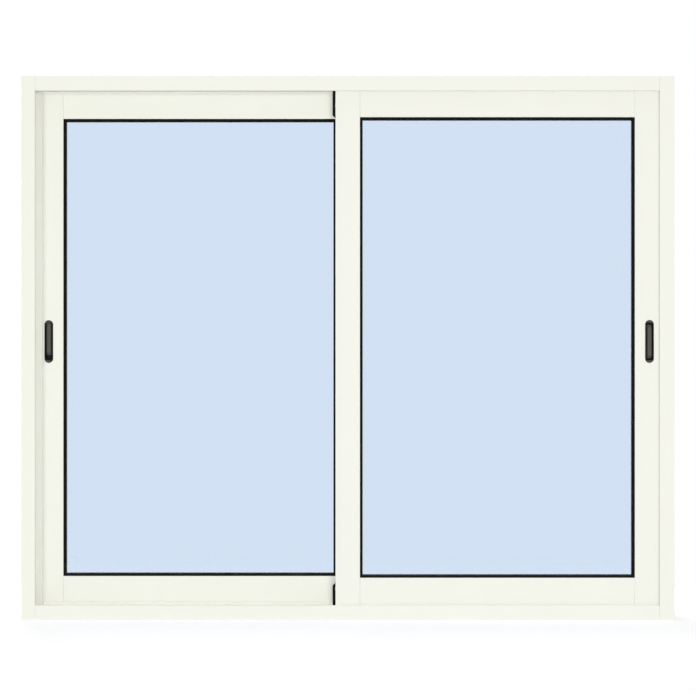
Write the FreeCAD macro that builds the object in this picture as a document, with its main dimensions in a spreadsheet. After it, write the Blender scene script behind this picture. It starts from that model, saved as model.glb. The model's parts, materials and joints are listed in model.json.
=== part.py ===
import FreeCAD, Part
import math
import os
import re
import Sketcher

# Horizontal sliding window: an aluminium frame with two tracks and two glazed sashes.
# Millimetres. X runs along the window, Y from the room to the outside, Z up.
# The origin is the middle of the sill's underside.

Vector = FreeCAD.Vector

DIMENSIONS = {
    # Outer frame, three-legged channels
    "frame_width": 1200,
    "frame_height": 1000,
    "frame_depth": 76,
    "frame_web": 2,
    "leg_wall": 1.6,
    "face_leg": 27,
    "open_leg": 24.5,
    "jamb_divider": 34,
    "sill_divider": 29,
    "fixing_diameter": 6.5,
    "fixing_from_end": 150,
    "joint_gap": 0.2,
    "fin_thickness": 2,
    "fin_height": 24,
    "weep_length": 25,
    "weep_height": 5,
    "weep_spread": 380,
    # Sash profiles
    "sash_inset": 18,
    "sash_depth": 25,
    "sash_wall": 1.5,
    "meeting_reach": 23,
    "lock_stile_width": 54,
    "meeting_stile_width": 45,
    "top_rail_height": 57,
    "top_channel": 18,
    "bottom_rail_height": 59,
    "bottom_channel": 30,
    "glazing_groove": 14,
    "fin_notch_width": 12,
    "fin_notch_height": 12,
    # Pile seals and their grooves
    "pile_edge": 3,
    "pile_groove_width": 5,
    "pile_groove_depth": 2,
    "pile_base": 1.2,
    "pile_width": 3,
    # Glass unit and gaskets
    "pane_thickness": 4,
    "pane_cavity": 8,
    "pane_clearance": 3,
    "spacer_cover": 2,
    "spacer_height": 7,
    "gasket_show": 5,
    "gasket_slope": 2,
    # Interlock strips and draught blocks between the sashes
    "interlock_wall": 1.4,
    "interlock_web": 8.5,
    "interlock_lip": 1.5,
    "interlock_hook": 5,
    "interlock_base": 11.5,
    "interlock_clearance": 6,
    "block_length": 57,
    "block_thickness": 6,
    "block_tongue_depth": 8,
    "sill_block_drop": 11,
    "block_chamfer": 6,
    # Rollers and top guides
    "runner_inset": 120,
    "running_clearance": 0.3,
    "tread_radius": 9,
    "flange_radius": 11.5,
    "wheel_width": 8,
    "tread_width": 3,
    "tread_mouth": 5.5,
    "axle_radius": 2.5,
    "housing_length": 46,
    "housing_wall": 1.5,
    "housing_side_gap": 0.7,
    "housing_skirt": 4,
    "guide_length": 40,
    "guide_height": 8,
    # Flush latches
    "latch_edge": 27,
    "latch_level": 512,
    "latch_length": 79,
    "latch_width": 16,
    "latch_proud": 1.2,
    "latch_rim": 1.3,
    "rim_bevel": 0.6,
    "mouth_bevel": 1.2,
    "latch_cup_wall": 1,
    "latch_slot_gap": 0.3,
    "latch_recess": 9,
    "slider_length": 62,
    "slider_plate": 2,
    "grip_length": 57,
    "grip_width": 8.6,
    "grip_setback": 0.8,
    "grip_bevel": 1.4,
    "left_slider_lift": 5.5,
}

# Sizes worked out from the sheet, as formulas in its own words
TRACK_WIDTH = "((frame_depth - 3 * leg_wall) / 2)"
TRACK_CENTRE = f"((leg_wall + {TRACK_WIDTH}) / 2)"
LEG_GAP = f"(({TRACK_WIDTH} - sash_depth) / 2)"
SASH_GAP = f"(2 * {TRACK_CENTRE} - sash_depth)"
SASH_EDGE = "(frame_width / 2 - sash_inset)"
SASH_WIDTH = f"({SASH_EDGE} + meeting_reach)"
SASH_HEIGHT = "(frame_height - 2 * sash_inset)"
LOCK_TUBE = "(lock_stile_width - glazing_groove)"
MEETING_TUBE = "(meeting_stile_width - glazing_groove)"
TOP_TUBE = "(top_rail_height - glazing_groove)"
BOTTOM_TUBE = "(bottom_rail_height - glazing_groove)"
GLASS_THICKNESS = "(2 * pane_thickness + pane_cavity)"
GROOVE_HALF = "(sash_depth / 2 - sash_wall)"
GASKET_THICKNESS = f"({GROOVE_HALF} - {GLASS_THICKNESS} / 2)"
AXLE_LEVEL = "(fin_height + running_clearance + tread_radius)"
ROLLER_WEB = "(sash_inset + bottom_channel)"
HEAD_BLOCK_TIP = "(frame_height - sash_inset - top_rail_height)"
SILL_BLOCK_TIP = "(sash_inset + bottom_rail_height - sill_block_drop)"
CUP_WIDTH = "(latch_width - 2 * latch_rim)"
CUP_LENGTH = "(latch_length - 2 * latch_rim)"
RECESS_WIDTH = f"({CUP_WIDTH} - 2 * latch_cup_wall)"
RECESS_LENGTH = f"({CUP_LENGTH} - 2 * latch_cup_wall)"
SLIDER_WIDTH = f"({RECESS_WIDTH} - 2 * running_clearance)"
GRIP_HEIGHT = "(latch_proud + latch_recess - running_clearance - slider_plate - grip_setback)"

WORD = re.compile(r"[a-z_]+")

doc = FreeCAD.newDocument("sliding_window")
nodes = []


def make_sheet():
    sheet = doc.addObject("Spreadsheet::Sheet", "dims")
    for row, (alias, value) in enumerate(DIMENSIONS.items(), start=1):
        sheet.set(f"A{row}", alias)
        sheet.set(f"B{row}", str(value))
        sheet.setAlias(f"B{row}", alias)
    doc.recompute()


def bind(thing, path, text):
    """Drive a property by a formula written in the sheet's words."""
    thing.setExpression(path, WORD.sub(r"dims.\g<0>", str(text)))


def place(thing, x=0, y=0, z=0):
    for axis, text in zip("xyz", (x, y, z)):
        bind(thing, f"Placement.Base.{axis}", text)


def node(thing, name):
    """Keep a finished sub-part under the name of its file."""
    thing.Label = name
    nodes.append(thing)
    return thing


def new_body(name, x=0, y=0, z=0):
    body = doc.addObject("PartDesign::Body", name)
    place(body, x, y, z)
    return body


def new_sketch(body, role, lift=0):
    """A sketch on one of the body's own planes, lifted along the plane's normal."""
    plane = next(item for item in body.Origin.OriginFeatures if item.Role == role)
    sketch = body.newObject("Sketcher::SketchObject", "sketch")
    sketch.AttachmentSupport = [(plane, "")]
    sketch.MapMode = "FlatFace"
    bind(sketch, "AttachmentOffset.Base.z", lift)
    return sketch


def fix_point(sketch, geometry, end, point):
    for kind, text in zip(("DistanceX", "DistanceY"), point):
        index = sketch.addConstraint(Sketcher.Constraint(kind, geometry, end, 1.0))
        bind(sketch, f"Constraints[{index}]", text)


def outline(sketch, points):
    """A closed outline whose corners are (x, y) formulas."""
    first = sketch.GeometryCount
    count = len(points)
    turn = 2 * math.pi / count
    corners = [Vector(math.cos(i * turn), math.sin(i * turn), 0) for i in range(count)]
    for i in range(count):
        sketch.addGeometry(Part.LineSegment(corners[i], corners[(i + 1) % count]), False)
    for i in range(count):
        following = first + (i + 1) % count
        sketch.addConstraint(Sketcher.Constraint("Coincident", first + i, 2, following, 1))
    for i, point in enumerate(points):
        fix_point(sketch, first + i, 1, point)


def rectangle(sketch, x0, y0, x1, y1):
    outline(sketch, [(x0, y0), (x1, y0), (x1, y1), (x0, y1)])


def circle(sketch, centre, radius):
    index = sketch.addGeometry(Part.Circle(Vector(), Vector(0, 0, 1), 1), False)
    fix_point(sketch, index, 3, centre)
    size = sketch.addConstraint(Sketcher.Constraint("Radius", index, 1.0))
    bind(sketch, f"Constraints[{size}]", radius)


def pill(sketch, start, end, radius, upright=True):
    """A slot outline with round ends about two centres, start below or left of end."""
    heading = math.pi / 2 if upright else 0
    reach = Vector(math.cos(heading), math.sin(heading), 0) * 4
    side = Vector(-reach.y, reach.x, 0) * 0.25
    quarter = math.pi / 2
    end_cap = Part.ArcOfCircle(
        Part.Circle(reach, Vector(0, 0, 1), 1), heading - quarter, heading + quarter)
    start_cap = Part.ArcOfCircle(
        Part.Circle(-reach, Vector(0, 0, 1), 1), heading + quarter, heading + 3 * quarter)
    edges = [
        end_cap,
        Part.LineSegment(reach + side, -reach + side),
        start_cap,
        Part.LineSegment(-reach - side, reach - side),
    ]
    first = sketch.GeometryCount
    for edge in edges:
        sketch.addGeometry(edge, False)
    for i in range(4):
        following = first + (i + 1) % 4
        sketch.addConstraint(Sketcher.Constraint("Tangent", first + i, 2, following, 1))
    for index, centre in ((first, end), (first + 2, start)):
        fix_point(sketch, index, 3, centre)
        size = sketch.addConstraint(Sketcher.Constraint("Radius", index, 1.0))
        bind(sketch, f"Constraints[{size}]", radius)


def upright_pill(sketch, length, width, x=0, y=0):
    half = f"(({length} - {width}) / 2)"
    pill(sketch, (x, f"{y} - {half}"), (x, f"{y} + {half}"), f"{width} / 2")


def pad(body, sketch, length, reverse=False, symmetric=False):
    feature = body.newObject("PartDesign::Pad", "pad")
    feature.Profile = sketch
    bind(feature, "Length", length)
    feature.Reversed = reverse
    feature.SideType = "Symmetric" if symmetric else "One side"
    return feature


def cut_through(body, sketch, symmetric=True, reverse=False):
    feature = body.newObject("PartDesign::Pocket", "cut")
    feature.Profile = sketch
    feature.Type = "ThroughAll"
    feature.SideType = "Symmetric" if symmetric else "One side"
    feature.Reversed = reverse
    return feature


def cut(body, sketch, depth, symmetric=False):
    feature = body.newObject("PartDesign::Pocket", "cut")
    feature.Profile = sketch
    bind(feature, "Length", depth)
    feature.SideType = "Symmetric" if symmetric else "One side"
    return feature


def facing_edges(feature, side, inner):
    """Names of the outer or inner edges of the face furthest front (side -1) or back (1)."""
    doc.recompute()
    shape = feature.Shape
    face = max(shape.Faces, key=lambda face: side * face.CenterOfMass.y)
    loops = [wire for wire in face.Wires if wire.isSame(face.OuterWire) != inner]
    chosen = [edge for wire in loops for edge in wire.Edges]
    return [f"Edge{index}" for index, edge in enumerate(shape.Edges, start=1)
            if any(edge.isSame(other) for other in chosen)]


def bevel(body, feature, size, side=-1, inner=False):
    chamfer = body.newObject("PartDesign::Chamfer", "bevel")
    chamfer.Base = (feature, facing_edges(feature, side, inner))
    bind(chamfer, "Size", size)


def compound(name, members):
    group = doc.addObject("Part::Compound", name)
    group.Links = members
    return node(group, name)


def in_plan(section, sign):
    """Turn (distance from the edge, depth) into plan points, the edge at x = 0."""
    return [(f"{sign} * ({along})", depth) for along, depth in section]


def in_elevation(section, sign):
    """Turn (distance from the edge, depth) into end-view points, the edge at z = 0."""
    return [(depth, f"{sign} * ({along})") for along, depth in section]


# Outer frame

def channel_section(divider, front_leg, back_leg):
    """Web with a front leg, a middle leg between the tracks and a back leg."""
    face = "frame_depth / 2"
    inner = "frame_depth / 2 - leg_wall"
    half = "leg_wall / 2"
    return [
        (0, f"-({face})"), (front_leg, f"-({face})"), (front_leg, f"-({inner})"),
        ("frame_web", f"-({inner})"), ("frame_web", f"-{half}"), (divider, f"-{half}"),
        (divider, half), ("frame_web", half), ("frame_web", inner),
        (back_leg, inner), (back_leg, face), (0, face),
    ]


def jamb_legs(side):
    """Front and back leg of a jamb; the leg beside the track that stands open is the shorter."""
    return ("open_leg", "face_leg") if side < 0 else ("face_leg", "open_leg")


def make_jamb(name, side):
    body = new_body(name, x=f"{side} * frame_width / 2")
    section = new_sketch(body, "XY_Plane")
    outline(section, in_plan(channel_section("jamb_divider", *jamb_legs(side)), -side))
    pad(body, section, "frame_height")
    fixings = new_sketch(body, "YZ_Plane")
    for track in (-1, 1):
        for level in ("fixing_from_end", "frame_height - fixing_from_end"):
            circle(fixings, (f"{track} * {TRACK_CENTRE}", level), "fixing_diameter / 2")
    cut_through(body, fixings)
    return node(body, name)


def notch_for_jambs(body):
    """Clear the ends of the head or sill round the jambs' legs, with a hairline joint."""
    notches = new_sketch(body, "XY_Plane")
    for end in (-1, 1):
        front_leg, back_leg = jamb_legs(end)
        legs = (
            ("-(frame_depth / 2 + leg_wall)", "-(frame_depth / 2 - leg_wall)", front_leg),
            ("-leg_wall / 2", "leg_wall / 2", "jamb_divider"),
            ("frame_depth / 2 - leg_wall", "frame_depth / 2 + leg_wall", back_leg),
        )
        for front, back, leg in legs:
            edge = f"{end} * frame_width / 2"
            inner = f"{end} * (frame_width / 2 - {leg} - joint_gap)"
            rectangle(notches, edge, front, inner, back)
    cut_through(body, notches)


def notch_for_block(body, up):
    """Open the middle leg at mid-width for the tongue of a draught block."""
    notch = new_sketch(body, "XZ_Plane")
    half = "block_length / 2"
    rectangle(notch, f"-{half}", f"{up} * (sill_divider - block_tongue_depth)",
              half, f"{up} * (sill_divider + block_tongue_depth)")
    cut(body, notch, "2 * leg_wall", symmetric=True)


def make_cross_member(name, level, up):
    body = new_body(name, z=level)
    section = new_sketch(body, "YZ_Plane")
    outline(section, in_elevation(channel_section("sill_divider", "face_leg", "face_leg"), up))
    pad(body, section, "frame_width - 2 * frame_web", symmetric=True)
    notch_for_jambs(body)
    notch_for_block(body, up)
    return node(body, name)


def add_running_fins(sill):
    """Two round-topped rails on the sill for the rollers."""
    fins = new_sketch(sill, "YZ_Plane")
    radius = "fin_thickness / 2"
    for track in (-1, 1):
        centre = f"{track} * {TRACK_CENTRE}"
        pill(fins, (centre, "frame_web"), (centre, f"fin_height - {radius}"), radius)
    pad(sill, fins, "frame_width - 2 * frame_web", symmetric=True)


def add_weep_slots(sill):
    """Drain slots through the middle leg, the outer fin and the back leg."""
    weeps = new_sketch(sill, "XZ_Plane", lift="leg_wall")
    level = "frame_web + weep_height"
    half = "(weep_length - weep_height) / 2"
    for place_along in (-1, 0, 1):
        centre = f"{place_along} * weep_spread"
        start = (f"{centre} - {half}", level)
        end = (f"{centre} + {half}", level)
        pill(weeps, start, end, "weep_height / 2", upright=False)
    cut_through(sill, weeps, symmetric=False)


def make_draught_block(name, tip, seat, up):
    """A block with cut corners, held by a tongue that fills the notch of the middle leg."""
    body = new_body(name)
    half = "block_length / 2"
    shoulder = f"{tip} - {up} * block_chamfer"
    face = new_sketch(body, "XZ_Plane")
    outline(face, [
        (f"-{half}", seat), (half, seat), (half, shoulder), (f"{half} - block_chamfer", tip),
        (f"-{half} + block_chamfer", tip), (f"-{half}", shoulder),
    ])
    pad(body, face, "block_thickness", symmetric=True)
    tongue = new_sketch(body, "XZ_Plane")
    rectangle(tongue, f"-{half}", f"{seat} - {up} * block_tongue_depth", half, seat)
    pad(body, tongue, "leg_wall", symmetric=True)
    return node(body, name)


# Sashes

def stile_section(width, tube):
    """Closed tube with two glazing flanges, as an outline and its inner void."""
    face = "sash_depth / 2"
    inner = f"{face} - sash_wall"
    shape = [
        (0, f"-{face}"), (width, f"-{face}"), (width, f"-({inner})"), (tube, f"-({inner})"),
        (tube, inner), (width, inner), (width, face), (0, face),
    ]
    void = [
        ("sash_wall", f"-({inner})"), (f"{tube} - sash_wall", f"-({inner})"),
        (f"{tube} - sash_wall", inner), ("sash_wall", inner),
    ]
    return shape, void


def grooved_stile_section(width, tube):
    """The stile with a pile groove in its front and back faces."""
    face = "sash_depth / 2"
    inner = f"{face} - sash_wall"
    floor = f"{face} - pile_groove_depth"
    lining = f"{floor} - sash_wall"
    near = "pile_edge"
    far = "pile_edge + pile_groove_width"
    past = f"{far} + sash_wall"
    shape = [
        (0, f"-{face}"), (near, f"-{face}"), (near, f"-({floor})"), (far, f"-({floor})"),
        (far, f"-{face}"), (width, f"-{face}"), (width, f"-({inner})"), (tube, f"-({inner})"),
        (tube, inner), (width, inner), (width, face), (far, face),
        (far, floor), (near, floor), (near, face), (0, face),
    ]
    void = [
        ("sash_wall", f"-({lining})"), (past, f"-({lining})"), (past, f"-({inner})"),
        (f"{tube} - sash_wall", f"-({inner})"), (f"{tube} - sash_wall", inner),
        (past, inner), (past, lining), ("sash_wall", lining),
    ]
    return shape, void


def rail_section(height, tube, channel):
    """Open channel at the edge with pile grooves, then a tube and two glazing flanges."""
    face = "sash_depth / 2"
    inner = f"{face} - sash_wall"
    floor = f"{face} - pile_groove_depth"
    lining = f"{floor} - sash_wall"
    near = "pile_edge"
    far = "pile_edge + pile_groove_width"
    before = f"{near} - sash_wall"
    past = f"{far} + sash_wall"
    outside = [
        (0, face), (near, face), (near, floor), (far, floor),
        (far, face), (height, face), (height, inner), (tube, inner),
    ]
    inside = [
        (0, inner), (before, inner), (before, lining), (past, lining), (past, inner), (channel, inner),
    ]
    back = outside[::-1] + inside
    front = [(along, f"-({depth})") for along, depth in back[::-1]]
    void = [
        (f"{channel} + sash_wall", f"-({inner})"), (f"{tube} - sash_wall", f"-({inner})"),
        (f"{tube} - sash_wall", inner), (f"{channel} + sash_wall", inner),
    ]
    return front + back, void


def add_fin_notch(stile):
    """Open the foot of a stile so that it passes over the running fin."""
    notch = new_sketch(stile, "YZ_Plane")
    half = "fin_notch_width / 2"
    rectangle(notch, f"-{half}", "-fin_notch_height", half, "fin_notch_height")
    cut_through(stile, notch)


def make_lock_stile(sash, hand, track):
    body = new_body(f"{sash}_lock_stile", f"{hand} * {SASH_EDGE}", track, "sash_inset")
    section = new_sketch(body, "XY_Plane")
    for loop in grooved_stile_section("lock_stile_width", LOCK_TUBE):
        outline(section, in_plan(loop, -hand))
    pad(body, section, SASH_HEIGHT)
    add_fin_notch(body)
    slot = new_sketch(body, "XZ_Plane")
    upright_pill(
        slot, f"({CUP_LENGTH} + 2 * latch_slot_gap)", f"({CUP_WIDTH} + 2 * latch_slot_gap)",
        f"{-hand} * latch_edge", "latch_level - sash_inset")
    cut_through(body, slot, symmetric=False, reverse=True)
    return node(body, f"{sash}_lock_stile")


def make_meeting_stile(sash, hand, track):
    body = new_body(f"{sash}_meeting_stile", f"{-hand} * meeting_reach", track, "sash_inset")
    section = new_sketch(body, "XY_Plane")
    for loop in stile_section("meeting_stile_width", MEETING_TUBE):
        outline(section, in_plan(loop, hand))
    pad(body, section, SASH_HEIGHT)
    add_fin_notch(body)
    return node(body, f"{sash}_meeting_stile")


def make_rail(name, hand, track, level, up, sizes):
    """A rail between the stile tubes; its face walls stop at a hairline from the flanges."""
    body = new_body(name, f"{hand} * ({SASH_EDGE} - {LOCK_TUBE})", track, level)
    length = f"({SASH_WIDTH} - {LOCK_TUBE} - {MEETING_TUBE})"
    section = new_sketch(body, "YZ_Plane")
    for loop in rail_section(*sizes):
        outline(section, in_elevation(loop, up))
    pad(body, section, length, reverse=hand > 0)
    trim = new_sketch(body, "XY_Plane")
    lap = "(glazing_groove + joint_gap)"
    ends = (("-glazing_groove", lap), (f"{length} - {lap}", f"{length} + glazing_groove"))
    for near, far in ends:
        for face in (-1, 1):
            rectangle(trim, f"{-hand} * ({near})", f"{face} * {GROOVE_HALF}",
                      f"{-hand} * ({far})", f"{face} * (sash_depth / 2 + sash_wall)")
    cut_through(body, trim)
    return node(body, name)


def glass_edges(hand, inset):
    """Left, bottom, right and top of a rectangle set in from the groove floors of a sash."""
    lock = f"{hand} * ({SASH_EDGE} - {LOCK_TUBE} - ({inset}))"
    meeting = f"{-hand} * (meeting_reach - {MEETING_TUBE} - ({inset}))"
    bottom = f"sash_inset + {BOTTOM_TUBE} + ({inset})"
    top = f"frame_height - sash_inset - {TOP_TUBE} - ({inset})"
    left, right = (lock, meeting) if hand < 0 else (meeting, lock)
    return left, bottom, right, top


def make_loop(name, hand, depth, outer, inner, thickness):
    """A rectangular ring of the glass unit, its front face at the given depth."""
    body = new_body(name, y=depth)
    ring = new_sketch(body, "XZ_Plane")
    rectangle(ring, *glass_edges(hand, outer))
    rectangle(ring, *glass_edges(hand, inner))
    return body, pad(body, ring, thickness, reverse=True)


def make_glazing(sash, hand, track):
    left, bottom, right, top = glass_edges(hand, "pane_clearance")
    unit_front = f"{track} - {GLASS_THICKNESS} / 2"
    panes = []
    for setback in ("0", "pane_thickness + pane_cavity"):
        pane = doc.addObject("Part::Box", f"{sash}_pane")
        bind(pane, "Length", f"{right} - ({left})")
        bind(pane, "Width", "pane_thickness")
        bind(pane, "Height", f"{top} - ({bottom})")
        place(pane, left, f"{unit_front} + {setback}", bottom)
        panes.append(pane)
    compound(f"{sash}_panes", panes)

    cover = "pane_clearance + spacer_cover"
    spacer, _ = make_loop(f"{sash}_spacer", hand, f"{unit_front} + pane_thickness",
                          cover, f"{cover} + spacer_height", "pane_cavity")
    node(spacer, f"{sash}_spacer")

    show = "glazing_groove + gasket_show"
    sides = ((-1, f"{unit_front} - {GASKET_THICKNESS}"), (1, f"{unit_front} + {GLASS_THICKNESS}"))
    gaskets = []
    for side, depth in sides:
        gasket, ring = make_loop(
            f"{sash}_gasket", hand, depth, "pane_clearance", show, GASKET_THICKNESS)
        bevel(gasket, ring, "gasket_slope", side, inner=True)
        gaskets.append(gasket)
    compound(f"{sash}_gaskets", gaskets)


def make_interlock(sash, hand):
    """An angle on the meeting stile and its clip-on hook; the two hooks lie behind each other."""
    foot = f"({SILL_BLOCK_TIP} + interlock_clearance)"
    length = f"{HEAD_BLOCK_TIP} - interlock_clearance - {foot}"
    face = f"-{SASH_GAP} / 2"
    outer = "-interlock_web - interlock_base"
    inner = "-interlock_web - interlock_wall"
    tip = "interlock_lip + interlock_wall"
    sections = {
        f"{sash}_interlock": [
            (outer, face), ("-interlock_web", face), ("-interlock_web", tip), (inner, tip),
            (inner, f"{face} + interlock_wall"), (outer, f"{face} + interlock_wall"),
        ],
        f"{sash}_interlock_hook": [
            ("-interlock_web", "interlock_lip"), ("interlock_hook", "interlock_lip"),
            ("interlock_hook", tip), ("-interlock_web", tip),
        ],
    }
    for name, points in sections.items():
        body = new_body(name, z=foot)
        section = new_sketch(body, "XY_Plane")
        outline(section, [(f"{hand} * ({x})", f"{hand} * ({y})") for x, y in points])
        pad(body, section, length)
        node(body, name)


def runner_places(hand):
    """Where the two rollers and the two top guides of a sash stand along X."""
    return (f"{hand} * ({SASH_EDGE} - runner_inset)", f"{-hand} * (meeting_reach - runner_inset)")


def make_roller_housing(name, x, track):
    """A pressed bracket under the rail's web with its axle."""
    body = new_body(name, x, track, ROLLER_WEB)
    outer = f"({GROOVE_HALF} - running_clearance)"
    cheek = "(wheel_width / 2 + housing_side_gap)"
    skin = f"({cheek} + housing_wall)"
    drop = f"-({ROLLER_WEB} - {AXLE_LEVEL} + housing_skirt)"
    section = new_sketch(body, "YZ_Plane")
    outline(section, [
        (f"-{outer}", 0), (f"-{outer}", "-housing_wall"), (f"-{skin}", "-housing_wall"),
        (f"-{skin}", drop), (f"-{cheek}", drop), (f"-{cheek}", "-housing_wall"),
        (cheek, "-housing_wall"), (cheek, drop), (skin, drop), (skin, "-housing_wall"),
        (outer, "-housing_wall"), (outer, 0),
    ])
    pad(body, section, "housing_length", symmetric=True)
    axle = new_sketch(body, "XZ_Plane")
    circle(axle, (0, f"{AXLE_LEVEL} - {ROLLER_WEB}"), "axle_radius")
    pad(body, axle, f"2 * {skin}", symmetric=True)
    return body


def make_roller_wheel(name, x, track):
    """A grooved wheel whose tread runs on the fin between two flanges."""
    body = new_body(name, x, track, AXLE_LEVEL)
    bore = "axle_radius + running_clearance"
    section = new_sketch(body, "XY_Plane")
    outline(section, [
        (bore, "-wheel_width / 2"), ("flange_radius", "-wheel_width / 2"),
        ("flange_radius", "-tread_mouth / 2"), ("tread_radius", "-tread_width / 2"),
        ("tread_radius", "tread_width / 2"), ("flange_radius", "tread_mouth / 2"),
        ("flange_radius", "wheel_width / 2"), (bore, "wheel_width / 2"),
    ])
    wheel = body.newObject("PartDesign::Revolution", "wheel")
    wheel.Profile = section
    wheel.ReferenceAxis = (section, ["V_Axis"])
    wheel.Angle = 360
    return body


def make_top_guide(name, x, track):
    """A block plugged into the top rail's channel, with a cap between the head's legs."""
    body = new_body(name, x, track, "frame_height - sash_inset")
    cap = f"({TRACK_WIDTH} / 2 - running_clearance)"
    stem = "(sash_depth / 2 - pile_groove_depth - sash_wall - running_clearance)"
    section = new_sketch(body, "YZ_Plane")
    outline(section, [
        (f"-{stem}", "-top_channel"), (stem, "-top_channel"), (stem, 0), (cap, 0),
        (cap, "guide_height"), (f"-{cap}", "guide_height"), (f"-{cap}", 0), (f"-{stem}", 0),
    ])
    pad(body, section, "guide_length", symmetric=True)
    return body


def pile_section(face):
    """A backing strip in its groove and the pile that stands out of it."""
    start = "pile_edge + running_clearance"
    end = "pile_edge + pile_groove_width - running_clearance"
    middle = "(pile_edge + pile_groove_width / 2)"
    floor = f"{face} * (sash_depth / 2 - pile_groove_depth)"
    backing = f"{face} * (sash_depth / 2 - pile_groove_depth + pile_base)"
    tip = f"{face} * (sash_depth / 2 + {LEG_GAP} - running_clearance)"
    low = f"{middle} - pile_width / 2"
    high = f"{middle} + pile_width / 2"
    return [
        (start, floor), (end, floor), (end, backing), (high, backing),
        (high, tip), (low, tip), (low, backing), (start, backing),
    ]


def make_pile_seals(sash, hand, track):
    """Strips on both faces of the lock stile and of the two rails."""
    strips = []
    run = f"({SASH_WIDTH} - lock_stile_width - meeting_stile_width)"
    for face in (-1, 1):
        strip = new_body(f"{sash}_pile", f"{hand} * {SASH_EDGE}", track, "sash_inset")
        section = new_sketch(strip, "XY_Plane")
        outline(section, in_plan(pile_section(face), -hand))
        pad(strip, section, SASH_HEIGHT)
        strips.append(strip)
        for level, up in (("sash_inset", 1), ("frame_height - sash_inset", -1)):
            start = f"{hand} * ({SASH_EDGE} - lock_stile_width)"
            strip = new_body(f"{sash}_pile", start, track, level)
            section = new_sketch(strip, "YZ_Plane")
            outline(section, in_elevation(pile_section(face), up))
            pad(strip, section, run, reverse=hand > 0)
            strips.append(strip)
    compound(f"{sash}_pile_seals", strips)


def make_sash(sash, hand, track):
    make_lock_stile(sash, hand, track)
    make_meeting_stile(sash, hand, track)
    make_rail(f"{sash}_top_rail", hand, track, "frame_height - sash_inset", -1,
              ("top_rail_height", TOP_TUBE, "top_channel"))
    make_rail(f"{sash}_bottom_rail", hand, track, "sash_inset", 1,
              ("bottom_rail_height", BOTTOM_TUBE, "bottom_channel"))
    make_glazing(sash, hand, track)
    make_interlock(sash, hand)
    runners = (
        ("roller_housings", make_roller_housing),
        ("roller_wheels", make_roller_wheel),
        ("top_guides", make_top_guide),
    )
    for word, make in runners:
        name = f"{sash}_{word}"
        compound(name, [make(f"{name}_each", x, track) for x in runner_places(hand)])
    make_pile_seals(sash, hand, track)


# Flush latches

def make_latch(side, hand, track, lift):
    x = f"{hand} * ({SASH_EDGE} - latch_edge)"
    face = f"{track} - sash_depth / 2"

    cup = new_body(f"{side}_latch_cup", x, face, "latch_level")
    rim = new_sketch(cup, "XZ_Plane")
    upright_pill(rim, "latch_length", "latch_width")
    plate = pad(cup, rim, "latch_proud")
    bevel(cup, plate, "rim_bevel")
    shell = new_sketch(cup, "XZ_Plane")
    upright_pill(shell, CUP_LENGTH, CUP_WIDTH)
    pad(cup, shell, "latch_recess + latch_cup_wall", reverse=True)
    recess = new_sketch(cup, "XZ_Plane", lift="latch_proud")
    upright_pill(recess, RECESS_LENGTH, RECESS_WIDTH)
    hollow = cut(cup, recess, "latch_proud + latch_recess")
    bevel(cup, hollow, "mouth_bevel", inner=True)
    node(cup, f"{side}_latch_cup")

    seat = f"{face} + latch_recess - running_clearance"
    slider = new_body(f"{side}_latch_slider", x, seat, f"latch_level + {lift}")
    base = new_sketch(slider, "XZ_Plane")
    upright_pill(base, "slider_length", SLIDER_WIDTH)
    pad(slider, base, "slider_plate")
    grip = new_sketch(slider, "XZ_Plane", lift="slider_plate")
    upright_pill(grip, "grip_length", "grip_width")
    bar = pad(slider, grip, GRIP_HEIGHT)
    bevel(slider, bar, "grip_bevel")
    node(slider, f"{side}_latch_slider")


def make_window():
    make_jamb("left_jamb", -1)
    make_jamb("right_jamb", 1)
    make_cross_member("head", "frame_height", -1)
    sill = make_cross_member("sill", 0, 1)
    add_running_fins(sill)
    add_weep_slots(sill)
    make_draught_block("head_draught_block", HEAD_BLOCK_TIP, "frame_height - sill_divider", -1)
    make_draught_block("sill_draught_block", SILL_BLOCK_TIP, "sill_divider", 1)
    make_sash("left_sash", -1, TRACK_CENTRE)
    make_sash("right_sash", 1, f"-{TRACK_CENTRE}")
    make_latch("left", -1, TRACK_CENTRE, "left_slider_lift")
    make_latch("right", 1, f"-{TRACK_CENTRE}", 0)


def check_document():
    for thing in doc.Objects:
        if "Invalid" in thing.State or "Error" in thing.State:
            raise RuntimeError(f"{thing.Label} failed: {thing.State}")
    for thing in nodes:
        if thing.Shape.isNull() or not thing.Shape.isValid():
            raise RuntimeError(f"{thing.Label} has no valid shape")


def write_parts():
    os.makedirs("parts", exist_ok=True)
    for thing in nodes:
        thing.Shape.exportStep(os.path.join("parts", f"{thing.Label}.step"))
        box = thing.Shape.optimalBoundingBox(False)
        print(f"{thing.Label}: {len(thing.Shape.Solids)} solids, {thing.Shape.Volume:.0f} mm3, "
              f"x {box.XMin:.1f} to {box.XMax:.1f}, y {box.YMin:.1f} to {box.YMax:.1f}, "
              f"z {box.ZMin:.1f} to {box.ZMax:.1f}")


make_sheet()
make_window()
doc.recompute()
check_document()
write_parts()
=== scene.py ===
import json
import math

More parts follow.
